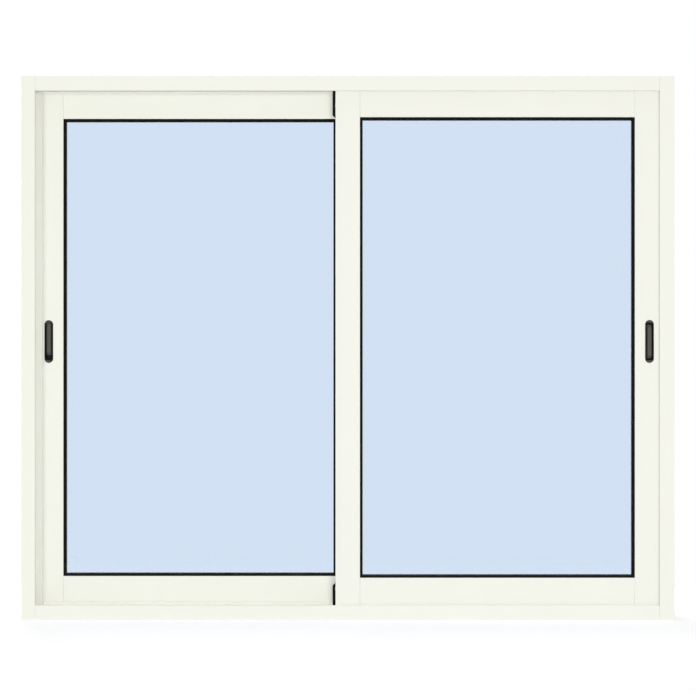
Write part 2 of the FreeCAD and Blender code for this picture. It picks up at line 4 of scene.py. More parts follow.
import bmesh
import bpy
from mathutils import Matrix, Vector


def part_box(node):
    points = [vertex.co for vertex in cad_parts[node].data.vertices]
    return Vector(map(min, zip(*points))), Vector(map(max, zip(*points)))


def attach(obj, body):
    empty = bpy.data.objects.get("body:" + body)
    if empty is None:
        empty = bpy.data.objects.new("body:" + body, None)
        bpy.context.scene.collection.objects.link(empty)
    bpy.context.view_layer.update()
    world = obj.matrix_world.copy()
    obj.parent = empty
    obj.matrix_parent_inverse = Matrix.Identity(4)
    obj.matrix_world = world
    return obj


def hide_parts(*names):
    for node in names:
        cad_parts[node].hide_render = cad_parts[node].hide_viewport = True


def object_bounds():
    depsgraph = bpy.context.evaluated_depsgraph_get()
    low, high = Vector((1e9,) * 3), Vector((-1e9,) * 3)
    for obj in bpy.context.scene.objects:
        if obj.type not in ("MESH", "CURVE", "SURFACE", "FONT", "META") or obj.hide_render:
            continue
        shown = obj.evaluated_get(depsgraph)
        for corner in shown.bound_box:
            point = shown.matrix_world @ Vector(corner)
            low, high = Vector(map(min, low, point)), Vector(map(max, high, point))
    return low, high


# Horizontal sliding window in ivory powder coat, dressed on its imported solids.
# Metres, in the frame's own axes: X along the window, Y to the outside, Z up.

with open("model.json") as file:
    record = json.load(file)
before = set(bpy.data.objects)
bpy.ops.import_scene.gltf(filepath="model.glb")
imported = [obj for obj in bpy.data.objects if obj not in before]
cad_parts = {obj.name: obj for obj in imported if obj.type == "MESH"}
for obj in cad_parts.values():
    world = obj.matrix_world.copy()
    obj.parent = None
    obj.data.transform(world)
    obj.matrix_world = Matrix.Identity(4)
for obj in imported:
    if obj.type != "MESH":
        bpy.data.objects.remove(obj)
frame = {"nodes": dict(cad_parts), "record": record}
cad_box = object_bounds()
nodes = frame["nodes"]

MM = 0.001
SASHES = ("left_sash", "right_sash")
UPRIGHTS = ("lock_stile", "meeting_stile", "interlock", "interlock_hook")
RAILS = ("top_rail", "bottom_rail")
X_AXIS, Z_AXIS = 0, 2
SEED = 11

# Edge radii of the finished pieces
PROFILE_RADIUS = 0.35 * MM
MOULDED_RADIUS = 0.2 * MM
ROUND_STEPS = 3
SHARP_ANGLE = math.radians(28)
STRAIGHT = 0.9999
WELD_DISTANCE = 0.001 * MM
FLAT_ANGLE = math.radians(0.3)

# Grey finger ramps in the round ends of the latch cups
RAMP_INSET = 1.4 * MM
RAMP_WIDTH = 3.0 * MM
RAMP_TOP = 0.2 * MM
RAMP_SLOPE = 0.75
RAMP_THICKNESS = 1.0 * MM
RAMP_SPREAD = math.radians(80)
RAMP_STEPS = 28

# Pan-head screws that hold the stiles to the rails, and rivets along the interlocks
SCREW_RADIUS = 3.6 * MM
SCREW_HEIGHT = 2.0 * MM
FLUSH_HEIGHT = 0.5 * MM
SCREW_SPREAD = 12 * MM
SCREW_TOP_DROP = 34 * MM
SCREW_BOTTOM_RISE = 38 * MM
RIVET_RADIUS = 2.6 * MM
RIVET_HEIGHT = 1.0 * MM
RIVET_COUNT = 5
SCREW_RECESS = 1.0
RIVET_RECESS = 0.6
INTERLOCK_WALL = 1.4 * MM

# A fastener's head, as shares of its radius or of its height
HEAD_SIDES = 24
CROWN_TOP = 0.62
CROWN_FOOT = 0.96
CROWN_SHARE = 0.65
SKIRT_SHARE = 0.35
CROSS_LENGTH = 1.1
CROSS_WIDTH = 0.3
CROSS_DEPTH = 0.9

# Woven pile in its grooves
PILE_BACKING = 1.2 * MM
PILE_ROWS = 4
PILE_SPREAD = 2.4 * MM
PILE_PITCH = 0.9 * MM
BRISTLE_RADIUS = 0.3 * MM
BRISTLE_LENGTH = 5 * MM
BRISTLE_SIDES = 3
BRISTLE_LEAN = 0.16
BRISTLE_CUT = (0.84, 0.98)
FILM_THICKNESS = 0.25 * MM

# Camera and studio
PHOTO_WIDTH_AT_FACE = 1.2794
CAMERA_DISTANCE = 4.8
SENSOR_WIDTH = 36
FLOOR_REACH = Vector((1.9, 1.25))
FLOOR_CENTRE = Vector((0, -0.32))
FLOOR_ROUGHNESS = 0.9
FLOOR_FADE = (0.6, 1.0)
FLOOR_GLOW = 0.6
FLOOR_GLOW_IN_GLASS = 0.64
AMBIENT_STRENGTH = 0.3
LAMP_AIM = Vector((0, 0, 0.5))

# Surface effects
NOISE_MIDDLE = 0.5
GRAIN_IN_COLOUR = 0.5
DUST_SLOPES = (0.35, 0.95)
DUST_PATCHES = (0.3, 0.7)
DUST_ROUGHNESS = 0.85
GLASS_IOR = 1.52
ROLLER_WAVE_SCALE = 5
ROLLER_WAVE_STRENGTH = 0.05
ROLLER_WAVE_DEPTH = 0.2 * MM


def paint(red, green, blue):
    """A display colour, 0 to 255 a channel, as linear light."""
    def linear(value):
        share = value / 255
        return share / 12.92 if share <= 0.04045 else ((share + 0.055) / 1.055) ** 2.4
    return linear(red), linear(green), linear(blue), 1


IVORY = paint(245, 246, 237)
DUST = paint(196, 190, 178)
GLASS_TINT = (0.791, 0.860, 0.944, 1)
RUBBER_BLACK = paint(10, 10, 10)
CUP_BLACK = paint(9, 9, 9)
GRIP_GREY = paint(76, 73, 68)
ZINC_GREY = paint(196, 198, 200)
SPACER_GREY = paint(188, 189, 190)
NYLON_GREY = paint(168, 168, 166)
PILE_GREY = paint(132, 132, 134)
FLOOR_GREY = (0.6, 0.6, 0.6, 1)
AMBIENT_COLOUR = (0.98, 0.99, 1, 1)
WHITE = (1, 1, 1, 1)


# Node tree helpers

def add(tree, kind, inputs=None, **settings):
    """A node with its properties set, and its inputs set or linked."""
    node = tree.nodes.new(kind)
    for name, value in settings.items():
        setattr(node, name, value)
    for name, value in (inputs or {}).items():
        if isinstance(value, bpy.types.NodeSocket):
            tree.links.new(value, node.inputs[name])
        else:
            node.inputs[name].default_value = value
    return node


def calc(tree, operation, *values, **settings):
    """The result of a math node on sockets or numbers."""
    inputs = dict(enumerate(values))
    return add(tree, "ShaderNodeMath", inputs, operation=operation, **settings).outputs[0]


def combine(tree, **parts):
    """A vector from its X, Y and Z parts."""
    return add(tree, "ShaderNodeCombineXYZ", parts).outputs[0]


def new_group(name, kind, inputs, outputs):
    """A node group with named sockets, and its two end nodes."""
    group = bpy.data.node_groups.new(name, kind)
    for label, socket, default in inputs:
        made = group.interface.new_socket(label, in_out="INPUT", socket_type=socket)
        if default is not None:
            made.default_value = default
    for label, socket in outputs:
        group.interface.new_socket(label, in_out="OUTPUT", socket_type=socket)
    return group, group.nodes.new("NodeGroupInput"), group.nodes.new("NodeGroupOutput")


# Shared surface effects

def make_grain_group():
    """Cloudy drift of colour and roughness, and a fine relief, on any coated or moulded surface."""
    group, given, made = new_group("surface_grain", "ShaderNodeTree", [
        ("Colour", "NodeSocketColor", WHITE),
        ("Colour Drift", "NodeSocketFloat", 0.04),
        ("Roughness", "NodeSocketFloat", 0.4),
        ("Roughness Drift", "NodeSocketFloat", 0.1),
        ("Cloud Scale", "NodeSocketFloat", 9),
        ("Grain Scale", "NodeSocketFloat", 900),
    ], [
        ("Colour", "NodeSocketColor"),
        ("Roughness", "NodeSocketFloat"),
        ("Height", "NodeSocketFloat"),
    ])
    place = add(group, "ShaderNodeTexCoord").outputs["Object"]
    clouds = add(group, "ShaderNodeTexNoise", {
        "Vector": place, "Scale": given.outputs["Cloud Scale"], "Detail": 4, "Roughness": 0.6})
    grain = add(group, "ShaderNodeTexNoise", {
        "Vector": place, "Scale": given.outputs["Grain Scale"], "Detail": 2, "Roughness": 0.55})
    cloud_swing = calc(group, "SUBTRACT", clouds.outputs["Fac"], NOISE_MIDDLE)
    grain_swing = calc(group, "SUBTRACT", grain.outputs["Fac"], NOISE_MIDDLE)
    swing = calc(group, "MULTIPLY_ADD", grain_swing, GRAIN_IN_COLOUR, cloud_swing)
    share = calc(group, "MULTIPLY_ADD", swing, given.outputs["Colour Drift"], 1)
    colour = add(group, "ShaderNodeVectorMath", {0: given.outputs["Colour"], "Scale": share},
                 operation="SCALE").outputs[0]
    rough = calc(group, "MULTIPLY_ADD", cloud_swing, given.outputs["Roughness Drift"],
                 given.outputs["Roughness"], use_clamp=True)
    group.links.new(colour, made.inputs["Colour"])
    group.links.new(rough, made.inputs["Roughness"])
    group.links.new(grain.outputs["Fac"], made.inputs["Height"])
    return group


def make_dust_group():
    """A thin, patchy film of dust on what faces up."""
    group, given, made = new_group("settled_dust", "ShaderNodeTree", [
        ("Colour", "NodeSocketColor", WHITE),
        ("Roughness", "NodeSocketFloat", 0.4),
        ("Dust Colour", "NodeSocketColor", DUST),
        ("Amount", "NodeSocketFloat", 0.2),
        ("Patch Scale", "NodeSocketFloat", 40),
    ], [
        ("Colour", "NodeSocketColor"),
        ("Roughness", "NodeSocketFloat"),
    ])
    place = add(group, "ShaderNodeTexCoord").outputs["Object"]
    normal = add(group, "ShaderNodeNewGeometry").outputs["Normal"]
    upward = add(group, "ShaderNodeSeparateXYZ", {"Vector": normal}).outputs["Z"]
    facing_up = add(group, "ShaderNodeMapRange", {
        "Value": upward, "From Min": DUST_SLOPES[0], "From Max": DUST_SLOPES[1]}).outputs["Result"]
    patches = add(group, "ShaderNodeTexNoise", {
        "Vector": place, "Scale": given.outputs["Patch Scale"], "Detail": 5}).outputs["Fac"]
    patchy = add(group, "ShaderNodeMapRange", {
        "Value": patches, "From Min": DUST_PATCHES[0], "From Max": DUST_PATCHES[1]}).outputs["Result"]
    film = calc(group, "MULTIPLY", facing_up, patchy)
    mask = calc(group, "MULTIPLY", film, given.outputs["Amount"], use_clamp=True)
    colour = add(group, "ShaderNodeMix", {
        0: mask, 6: given.outputs["Colour"], 7: given.outputs["Dust Colour"]},
        data_type="RGBA").outputs[2]
    rough = add(group, "ShaderNodeMix", {
        0: mask, 2: given.outputs["Roughness"], 3: DUST_ROUGHNESS}, data_type="FLOAT").outputs[0]
    group.links.new(colour, made.inputs["Colour"])
    group.links.new(rough, made.inputs["Roughness"])
    return group


GRAIN = make_grain_group()
DUST_FILM = make_dust_group()


# Materials

def new_material(name):
    """An empty material with a Principled shader on its output."""
    material = bpy.data.materials.new(name)
    material.use_nodes = True
    tree = material.node_tree
    tree.nodes.clear()
    surface = add(tree, "ShaderNodeBsdfPrincipled")
    output = add(tree, "ShaderNodeOutputMaterial", {"Surface": surface.outputs["BSDF"]})
    return material, tree, surface, output


def solid_finish(name, colour, roughness, drift, scales, relief, dust, shader=None):
    """A coated, moulded or plated surface: grain, then dust, then a fine relief on the shader."""
    material, tree, surface, _ = new_material(name)
    colour_drift, roughness_drift = drift
    cloud_scale, grain_scale = scales
    strength, depth = relief
    grain = add(tree, "ShaderNodeGroup", node_tree=GRAIN)
    values = {
        "Colour": colour, "Colour Drift": colour_drift, "Roughness": roughness,
        "Roughness Drift": roughness_drift, "Cloud Scale": cloud_scale, "Grain Scale": grain_scale,
    }
    for label, value in values.items():
        grain.inputs[label].default_value = value
    film = add(tree, "ShaderNodeGroup", node_tree=DUST_FILM)
    film.inputs["Amount"].default_value = dust
    tree.links.new(grain.outputs["Colour"], film.inputs["Colour"])
    tree.links.new(grain.outputs["Roughness"], film.inputs["Roughness"])
    bump = add(tree, "ShaderNodeBump", {
        "Height": grain.outputs["Height"], "Strength": strength, "Distance": depth})
    tree.links.new(film.outputs["Colour"], surface.inputs["Base Color"])
    tree.links.new(film.outputs["Roughness"], surface.inputs["Roughness"])
    tree.links.new(bump.outputs["Normal"], surface.inputs["Normal"])
    for label, value in (shader or {}).items():
        surface.inputs[label].default_value = value
    return material


def powder_coat():
    return solid_finish(
        "ivory_powder_coat", IVORY, roughness=0.42, drift=(0.03, 0.12), scales=(7, 1100),
        relief=(0.22, 0.06 * MM), dust=0.10)


def black_rubber():
    return solid_finish(
        "extruded_black_rubber", RUBBER_BLACK, roughness=0.62, drift=(0.5, 0.2), scales=(30, 2600),
        relief=(0.25, 0.05 * MM), dust=0.06, shader={"Specular IOR Level": 0.14})


def black_plastic():
    return solid_finish(
        "moulded_black_plastic", CUP_BLACK, roughness=0.34, drift=(0.4, 0.16), scales=(60, 3400),
        relief=(0.18, 0.03 * MM), dust=0.05, shader={"Specular IOR Level": 0.16})


def grip_plastic():
    return solid_finish(
        "satin_grey_grip", GRIP_GREY, roughness=0.4, drift=(0.35, 0.2), scales=(70, 3000),
        relief=(0.2, 0.03 * MM), dust=0.05)


def zinc_steel():
    return solid_finish(
        "zinc_plated_steel", ZINC_GREY, roughness=0.36, drift=(0.3, 0.3), scales=(140, 1800),
        relief=(0.1, 0.03 * MM), dust=0.08, shader={"Metallic": 1})


def spacer_bar():
    return solid_finish(
        "rolled_spacer_bar", SPACER_GREY, roughness=0.32, drift=(0.15, 0.2), scales=(50, 1500),
        relief=(0.12, 0.03 * MM), dust=0.0, shader={"Metallic": 1})


def grey_nylon():
    return solid_finish(
        "moulded_grey_nylon", NYLON_GREY, roughness=0.5, drift=(0.1, 0.15), scales=(60, 2200),
        relief=(0.12, 0.03 * MM), dust=0.12)


def grey_pile():
    return solid_finish(
        "woven_grey_pile", PILE_GREY, roughness=0.9, drift=(0.9, 0.1), scales=(160, 2600),
        relief=(0.3, 0.1 * MM), dust=0.1, shader={"Sheen Weight": 0.4})


def clear_glass():
    """Float glass with a faint roller wave; lamps shine through it."""
    material, tree, surface, output = new_material("tinted_float_glass")
    surface.inputs["Base Color"].default_value = GLASS_TINT
    surface.inputs["Roughness"].default_value = 0.0
    surface.inputs["IOR"].default_value = GLASS_IOR
    surface.inputs["Transmission Weight"].default_value = 1.0
    place = add(tree, "ShaderNodeTexCoord").outputs["Object"]
    wave = add(tree, "ShaderNodeTexNoise", {
        "Vector": place, "Scale": ROLLER_WAVE_SCALE, "Detail": 1})
    bump = add(tree, "ShaderNodeBump", {
        "Height": wave.outputs["Fac"], "Strength": ROLLER_WAVE_STRENGTH,
        "Distance": ROLLER_WAVE_DEPTH})
    tree.links.new(bump.outputs["Normal"], surface.inputs["Normal"])
    through = add(tree, "ShaderNodeBsdfTransparent", {"Color": GLASS_TINT})
    path = add(tree, "ShaderNodeLightPath")
    mix = add(tree, "ShaderNodeMixShader", {
        0: path.outputs["Is Shadow Ray"], 1: surface.outputs["BSDF"], 2: through.outputs["BSDF"]})
    tree.links.new(mix.outputs["Shader"], output.inputs["Surface"])
    return material


FINISHES = {
    "powder_coated_aluminium": powder_coat(),
    "clear_glass": clear_glass(),
    "spacer_bar": spacer_bar(),
    "black_rubber": black_rubber(),
    "black_plastic": black_plastic(),
    "dark_plastic": grip_plastic(),
    "zinc_steel": zinc_steel(),
    "grey_nylon": grey_nylon(),
    "grey_pile": grey_pile(),
}


def finish_nodes():
    """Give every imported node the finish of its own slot."""
    for part in frame["record"]["subparts"]:
        mesh = nodes[part["node"]].data
        mesh.materials.clear()
        mesh.materials.append(FINISHES[part["material_slot"]])


SLOT_OF = {part["node"]: part["material_slot"] for part in frame["record"]["subparts"]}
BODY_OF = {node: body for body, members in frame["record"]["behaviour"]["bodies"].items()
           for node in members}


# Finished pieces

def new_piece(name, mesh, body, slot):
    """An object of one finish that rides on a body."""
    piece = bpy.data.objects.new(name, mesh)
    bpy.context.scene.collection.objects.link(piece)
    mesh.materials.clear()
    mesh.materials.append(FINISHES[slot])
    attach(piece, body)
    return piece


def evaluated_mesh(source):
    """The mesh of an object with its modifiers applied; the object itself is removed."""
    depsgraph = bpy.context.evaluated_depsgraph_get()
    mesh = bpy.data.meshes.new_from_object(source.evaluated_get(depsgraph))
    bpy.data.objects.remove(source)
    return mesh


def is_rounded(edge, along):
    """Sharp edges are rounded: on an extrusion, those that run along it, and not its sawn ends."""
    if len(edge.link_faces) != 2 or edge.calc_face_angle() < SHARP_ANGLE:
        return False
    if along is None:
        return True
    start, end = (vert.co for vert in edge.verts)
    return abs((end - start).normalized()[along]) > STRAIGHT


def merged_copy(node, along):
    """A node's mesh with its corners merged, its flat faces joined and its round edges marked."""
    mesh = nodes[node].data.copy()
    work = bmesh.new()
    work.from_mesh(mesh)
    bmesh.ops.remove_doubles(work, verts=work.verts, dist=WELD_DISTANCE)
    bmesh.ops.dissolve_limit(work, angle_limit=FLAT_ANGLE, verts=work.verts, edges=work.edges)
    weight = work.edges.layers.float.new("bevel_weight_edge")
    for edge in work.edges:
        edge[weight] = 1.0 if is_rounded(edge, along) else 0.0
    work.to_mesh(mesh)
    work.free()
    mesh.shade_smooth()
    mesh.set_sharp_from_angle(angle=SHARP_ANGLE)
    return mesh


def soften(node, radius, along=None):
    """Stand a copy with small edge radii in a node's place."""
    source = bpy.data.objects.new(f"{node}_sharp", merged_copy(node, along))
    bpy.context.scene.collection.objects.link(source)
    rounding = source.modifiers.new("edge_radius", "BEVEL")
    rounding.width = radius
    rounding.segments = ROUND_STEPS
    rounding.limit_method = "WEIGHT"
    rounding.use_clamp_overlap = False
    normals = source.modifiers.new("flat_faces", "WEIGHTED_NORMAL")
    normals.weight = 100
    normals.keep_sharp = True
    piece = new_piece(f"{node}_finish", evaluated_mesh(source), BODY_OF[node], SLOT_OF[node])
    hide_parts(node)


def soften_pieces():
    """Round the long edges of the extrusions and every sharp edge of the latches."""
    for node in ("left_jamb", "right_jamb"):
        soften(node, PROFILE_RADIUS, Z_AXIS)
    for node in ("head", "sill"):
        soften(node, PROFILE_RADIUS, X_AXIS)
    for sash in SASHES:
        for upright in UPRIGHTS:
            soften(f"{sash}_{upright}", PROFILE_RADIUS, Z_AXIS)
        for rail in RAILS:
            soften(f"{sash}_{rail}", PROFILE_RADIUS, X_AXIS)
    for side in ("left", "right"):
        soften(f"{side}_latch_cup", MOULDED_RADIUS)
        soften(f"{side}_latch_slider", MOULDED_RADIUS)


# Finger ramps of the latches

def add_ramp(work, centre, radius, way):
    """A crescent that slopes from a cup's rim to its bar, round the end that lies at way on Z."""
    rings = []
    for step in range(RAMP_STEPS + 1):
        share = 2 * step / RAMP_STEPS - 1
        angle = share * RAMP_SPREAD
        width = RAMP_WIDTH * math.cos(share * math.pi / 2)
        inner = radius - width
        low = RAMP_TOP + RAMP_SLOPE * width
        section = ((radius, RAMP_TOP), (inner, low), (inner, low + RAMP_THICKNESS),
                   (radius, RAMP_TOP + RAMP_THICKNESS))
        rings.append([work.verts.new(centre + Vector((
            reach * math.sin(angle), depth, way * reach * math.cos(angle))))
            for reach, depth in section])
    for here, after in zip(rings, rings[1:]):
        for corner in range(len(here)):
            beside = (corner + 1) % len(here)
            work.faces.new((here[corner], here[beside], after[beside], after[corner]))


def add_latch_ramps():
    """A ramp in both ends of each latch cup, as one piece a latch."""
    for side in ("left", "right"):
        low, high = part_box(f"{side}_latch_cup")
        half = (high.x - low.x) / 2
        middle = (low.x + high.x) / 2
        work = bmesh.new()
        for way, level in ((-1, low.z + half), (1, high.z - half)):
            add_ramp(work, Vector((middle, low.y, level)), half - RAMP_INSET, way)
        bmesh.ops.remove_doubles(work, verts=work.verts, dist=WELD_DISTANCE)
        bmesh.ops.recalc_face_normals(work, faces=work.faces)
        mesh = bpy.data.meshes.new(f"{side}_latch_ramps")
        work.to_mesh(mesh)
        work.free()
        mesh.shade_smooth()
        mesh.set_sharp_from_angle(angle=SHARP_ANGLE)
        new_piece(f"{side}_latch_ramps", mesh, f"{side}_sash", "dark_plastic")


# Screws and rivets

def make_fastener_tree():
    """Heads with a cross recess on every point, each turned by its own amount."""
    tree, given, made = new_group("fastener_heads", "GeometryNodeTree", [
        ("Points", "NodeSocketGeometry", None),
        ("Radius", "NodeSocketFloat", SCREW_RADIUS),
        ("Height", "NodeSocketFloat", SCREW_HEIGHT),
        ("Recess", "NodeSocketFloat", SCREW_RECESS),
        ("Seed", "NodeSocketInt", SEED),
        ("Finish", "NodeSocketMaterial", None),
    ], [("Heads", "NodeSocketGeometry")])
    radius, height = given.outputs["Radius"], given.outputs["Height"]

    def times(value, factor):
        return calc(tree, "MULTIPLY", value, factor)

    crown = add(tree, "GeometryNodeMeshCone", {
        "Vertices": HEAD_SIDES, "Side Segments": 1, "Radius Top": times(radius, CROWN_TOP),
        "Radius Bottom": times(radius, CROWN_FOOT), "Depth": times(height, CROWN_SHARE)},
        fill_type="NGON")
    skirt = add(tree, "GeometryNodeMeshCylinder", {
        "Vertices": HEAD_SIDES, "Radius": radius, "Depth": times(height, SKIRT_SHARE)},
        fill_type="NGON")
    lift_crown = combine(tree, Z=times(height, SKIRT_SHARE))
    lift_skirt = combine(tree, Z=times(height, SKIRT_SHARE / 2))
    crown = add(tree, "GeometryNodeTransform", {
        "Geometry": crown.outputs["Mesh"], "Translation": lift_crown}).outputs[0]
    skirt = add(tree, "GeometryNodeTransform", {
        "Geometry": skirt.outputs["Mesh"], "Translation": lift_skirt}).outputs[0]
    long = times(times(radius, CROSS_LENGTH), given.outputs["Recess"])
    wide = times(times(radius, CROSS_WIDTH), given.outputs["Recess"])
    lift_cross = combine(tree, Z=height)
    bars = []
    for x, y in ((long, wide), (wide, long)):
        size = combine(tree, X=x, Y=y, Z=times(height, CROSS_DEPTH))
        bar = add(tree, "GeometryNodeMeshCube", {"Size": size}).outputs["Mesh"]
        bars.append(add(tree, "GeometryNodeTransform", {
            "Geometry": bar, "Translation": lift_cross}).outputs[0])
    recessed = add(tree, "GeometryNodeMeshBoolean", {"Mesh 1": crown}, operation="DIFFERENCE")
    for bar in bars:
        tree.links.new(bar, recessed.inputs["Mesh 2"])
    head = add(tree, "GeometryNodeJoinGeometry")
    for shape in (skirt, recessed.outputs["Mesh"]):
        tree.links.new(shape, head.inputs["Geometry"])
    facing = add(tree, "GeometryNodeInputNamedAttribute", {"Name": "facing"},
                 data_type="FLOAT_VECTOR").outputs["Attribute"]
    upright = add(tree, "FunctionNodeAlignRotationToVector", {"Vector": facing}, axis="Z").outputs[0]
    placed = add(tree, "GeometryNodeInstanceOnPoints", {
        "Points": given.outputs["Points"], "Instance": head.outputs["Geometry"], "Rotation": upright})
    turn = add(tree, "FunctionNodeRandomValue", {"Max": math.pi, "Seed": given.outputs["Seed"]},
               data_type="FLOAT")
    turned = combine(tree, Z=turn.outputs[1])
    spun = add(tree, "GeometryNodeRotateInstances", {
        "Instances": placed.outputs["Instances"], "Rotation": turned})
    real = add(tree, "GeometryNodeRealizeInstances", {"Geometry": spun.outputs["Instances"]})
    coated = add(tree, "GeometryNodeSetMaterial", {
        "Geometry": real.outputs["Geometry"], "Material": given.outputs["Finish"]})
    tree.links.new(coated.outputs["Geometry"], made.inputs["Heads"])
    return tree


def make_pile_tree():
    """Bristles along every line, each leaning and cut a little differently."""
    tree, given, made = new_group("pile_bristles", "GeometryNodeTree", [
        ("Lines", "NodeSocketGeometry", None),
        ("Pitch", "NodeSocketFloat", PILE_PITCH),
        ("Bristle Radius", "NodeSocketFloat", BRISTLE_RADIUS),
        ("Bristle Length", "NodeSocketFloat", BRISTLE_LENGTH),
        ("Lean", "NodeSocketFloat", BRISTLE_LEAN),
        ("Seed", "NodeSocketInt", SEED),
        ("Finish", "NodeSocketMaterial", None),
    ], [("Pile", "NodeSocketGeometry")])
    lines = add(tree, "GeometryNodeMeshToCurve", {"Mesh": given.outputs["Lines"]}).outputs["Curve"]
    roots = add(tree, "GeometryNodeResampleCurve", {
        "Curve": lines, "Length": given.outputs["Pitch"]}, mode="LENGTH").outputs["Curve"]
    bristle = add(tree, "GeometryNodeMeshCone", {
        "Vertices": BRISTLE_SIDES, "Side Segments": 1, "Radius Top": 0.0,
        "Radius Bottom": given.outputs["Bristle Radius"], "Depth": given.outputs["Bristle Length"]},
        fill_type="NGON")
    stand = add(tree, "GeometryNodeInputNamedAttribute", {"Name": "stand"},
                data_type="FLOAT_VECTOR").outputs["Attribute"]
    lean = given.outputs["Lean"]
    back = calc(tree, "MULTIPLY", lean, -1)
    least = combine(tree, X=back, Z=back)
    most = combine(tree, X=lean, Z=lean)
    stray = add(tree, "FunctionNodeRandomValue", {
        0: least, 1: most, "Seed": given.outputs["Seed"]}, data_type="FLOAT_VECTOR").outputs[0]
    heading = add(tree, "ShaderNodeVectorMath", {0: stand, 1: stray}, operation="ADD").outputs[0]
    upright = add(tree, "FunctionNodeAlignRotationToVector", {"Vector": heading}, axis="Z").outputs[0]
    cut = add(tree, "FunctionNodeRandomValue", {
        "Min": BRISTLE_CUT[0], "Max": BRISTLE_CUT[1], "Seed": given.outputs["Seed"]},
        data_type="FLOAT").outputs[1]
    scale = combine(tree, X=1, Y=1, Z=cut)
    placed = add(tree, "GeometryNodeInstanceOnPoints", {
        "Points": roots, "Instance": bristle.outputs["Mesh"], "Rotation": upright, "Scale": scale})
    real = add(tree, "GeometryNodeRealizeInstances", {"Geometry": placed.outputs["Instances"]})
    coated = add(tree, "GeometryNodeSetMaterial", {
        "Geometry": real.outputs["Geometry"], "Material": given.outputs["Finish"]})
    tree.links.new(coated.outputs["Geometry"], made.inputs["Pile"])
    return tree


def grow(name, mesh, tree, values):
    """The plain mesh that a node tree makes from a mesh of points or lines."""
    source = bpy.data.objects.new(name, mesh)
    bpy.context.scene.collection.objects.link(source)
    growth = source.modifiers.new("growth", "NODES")
    growth.node_group = tree
    for socket in tree.interface.items_tree:
        if socket.in_out == "INPUT" and socket.name in values:
            growth[socket.identifier] = values[socket.name]
    return evaluated_mesh(source)


def vector_attribute(mesh, name, vectors):
    """A named vector on every point of a mesh."""
    attribute = mesh.attributes.new(name, "FLOAT_VECTOR", "POINT")
    for item, vector in zip(attribute.data, vectors):
        item.vector = vector


def point_mesh(name, rows):
    """A mesh of loose points; each row is a place and the way its head faces."""
    mesh = bpy.data.meshes.new(name)
    mesh.from_pydata([place for place, _ in rows], [], [])
    vector_attribute(mesh, "facing", [facing for _, facing in rows])
    return mesh


def outward(sash, stile):
    """The X direction in which a stile's outer edge faces."""
    side = -1 if sash == "left_sash" else 1
    return side if stile == "lock_stile" else -side


def corner_screws(sash, stile):
    """Two screws through each end of a stile into the rails."""
    low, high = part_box(f"{sash}_{stile}")
    way = outward(sash, stile)
    x = high.x if way > 0 else low.x
    depth = (low.y + high.y) / 2
    return [((x, depth + side * SCREW_SPREAD / 2, z), (way, 0, 0))
            for z in (low.z + SCREW_BOTTOM_RISE, high.z - SCREW_TOP_DROP) for side in (-1, 1)]


def interlock_rivets(sash):
    """A row of rivets that holds the interlock to the meeting stile."""
    low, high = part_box(f"{sash}_interlock")
    stile_low, stile_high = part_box(f"{sash}_meeting_stile")
    behind = low.y < stile_low.y
    way = -1 if behind else 1
    y = stile_low.y - INTERLOCK_WALL if behind else stile_high.y + INTERLOCK_WALL
    x = (low.x + high.x) / 2
    step = (high.z - low.z) / RIVET_COUNT
    return [((x, y, low.z + (i + 0.5) * step), (0, way, 0)) for i in range(RIVET_COUNT)]


def add_fasteners():
    """Pan heads on the lock stiles, flush heads on the meeting stiles, rivets on the interlocks."""
    tree = make_fastener_tree()
    for sash in SASHES:
        kinds = (
            ("screws", corner_screws(sash, "lock_stile"),
             SCREW_RADIUS, SCREW_HEIGHT, SCREW_RECESS),
            ("flush_screws", corner_screws(sash, "meeting_stile"),
             SCREW_RADIUS, FLUSH_HEIGHT, SCREW_RECESS),
            ("rivets", interlock_rivets(sash), RIVET_RADIUS, RIVET_HEIGHT, RIVET_RECESS),
        )
        for word, rows, radius, height, recess in kinds:
            name = f"{sash}_{word}"
            mesh = grow(name, point_mesh(name, rows), tree, {
                "Radius": radius, "Height": height, "Recess": recess, "Seed": SEED,
                "Finish": FINISHES["zinc_steel"]})
            new_piece(name, mesh, sash, "zinc_steel")


# Pile seals

def island_boxes(node):
    """The lowest and highest corners of each separate solid in a node."""
    work = bmesh.new()
    work.from_mesh(nodes[node].data)
    bmesh.ops.remove_doubles(work, verts=work.verts, dist=WELD_DISTANCE)
    waiting = set(work.verts)
    boxes = []
    while waiting:
        front = [waiting.pop()]
        island = list(front)
        while front:
            for edge in front.pop().link_edges:
                for vert in edge.verts:
                    if vert in waiting:
                        waiting.remove(vert)
                        front.append(vert)
                        island.append(vert)
        places = [vert.co.copy() for vert in island]
        low = Vector([min(place[axis] for place in places) for axis in range(3)])
        high = Vector([max(place[axis] for place in places) for axis in range(3)])
        boxes.append((low, high))
    work.free()
    return sorted(boxes, key=lambda box: tuple(box[0]))


def strip_axes(low, high):
    """The axis along a strip and the one across it."""
    upright = high.z - low.z > high.x - low.x
    return (Z_AXIS, X_AXIS) if upright else (X_AXIS, Z_AXIS)


def pile_lines(boxes, middle):
    """Rows of lines along each strip, at the top of its backing, and the way its pile stands."""
    places, edges, stands = [], [], []
    for low, high in boxes:
        along, across = strip_axes(low, high)
        way = 1 if low.y > middle else -1
        root = low.y + PILE_BACKING if way > 0 else high.y - PILE_BACKING
        centre = (low[across] + high[across]) / 2
        for row in range(PILE_ROWS):
            start = Vector((0, root, 0))
            start[across] = centre + (row / (PILE_ROWS - 1) - 0.5) * PILE_SPREAD
            end = start.copy()
            start[along] = low[along] + PILE_PITCH * (0.5 + row / PILE_ROWS)
            end[along] = high[along] - PILE_PITCH / 2
            edges.append((len(places), len(places) + 1))
            places += [start, end]
            stands += [(0, way, 0)] * 2
    return places, edges, stands


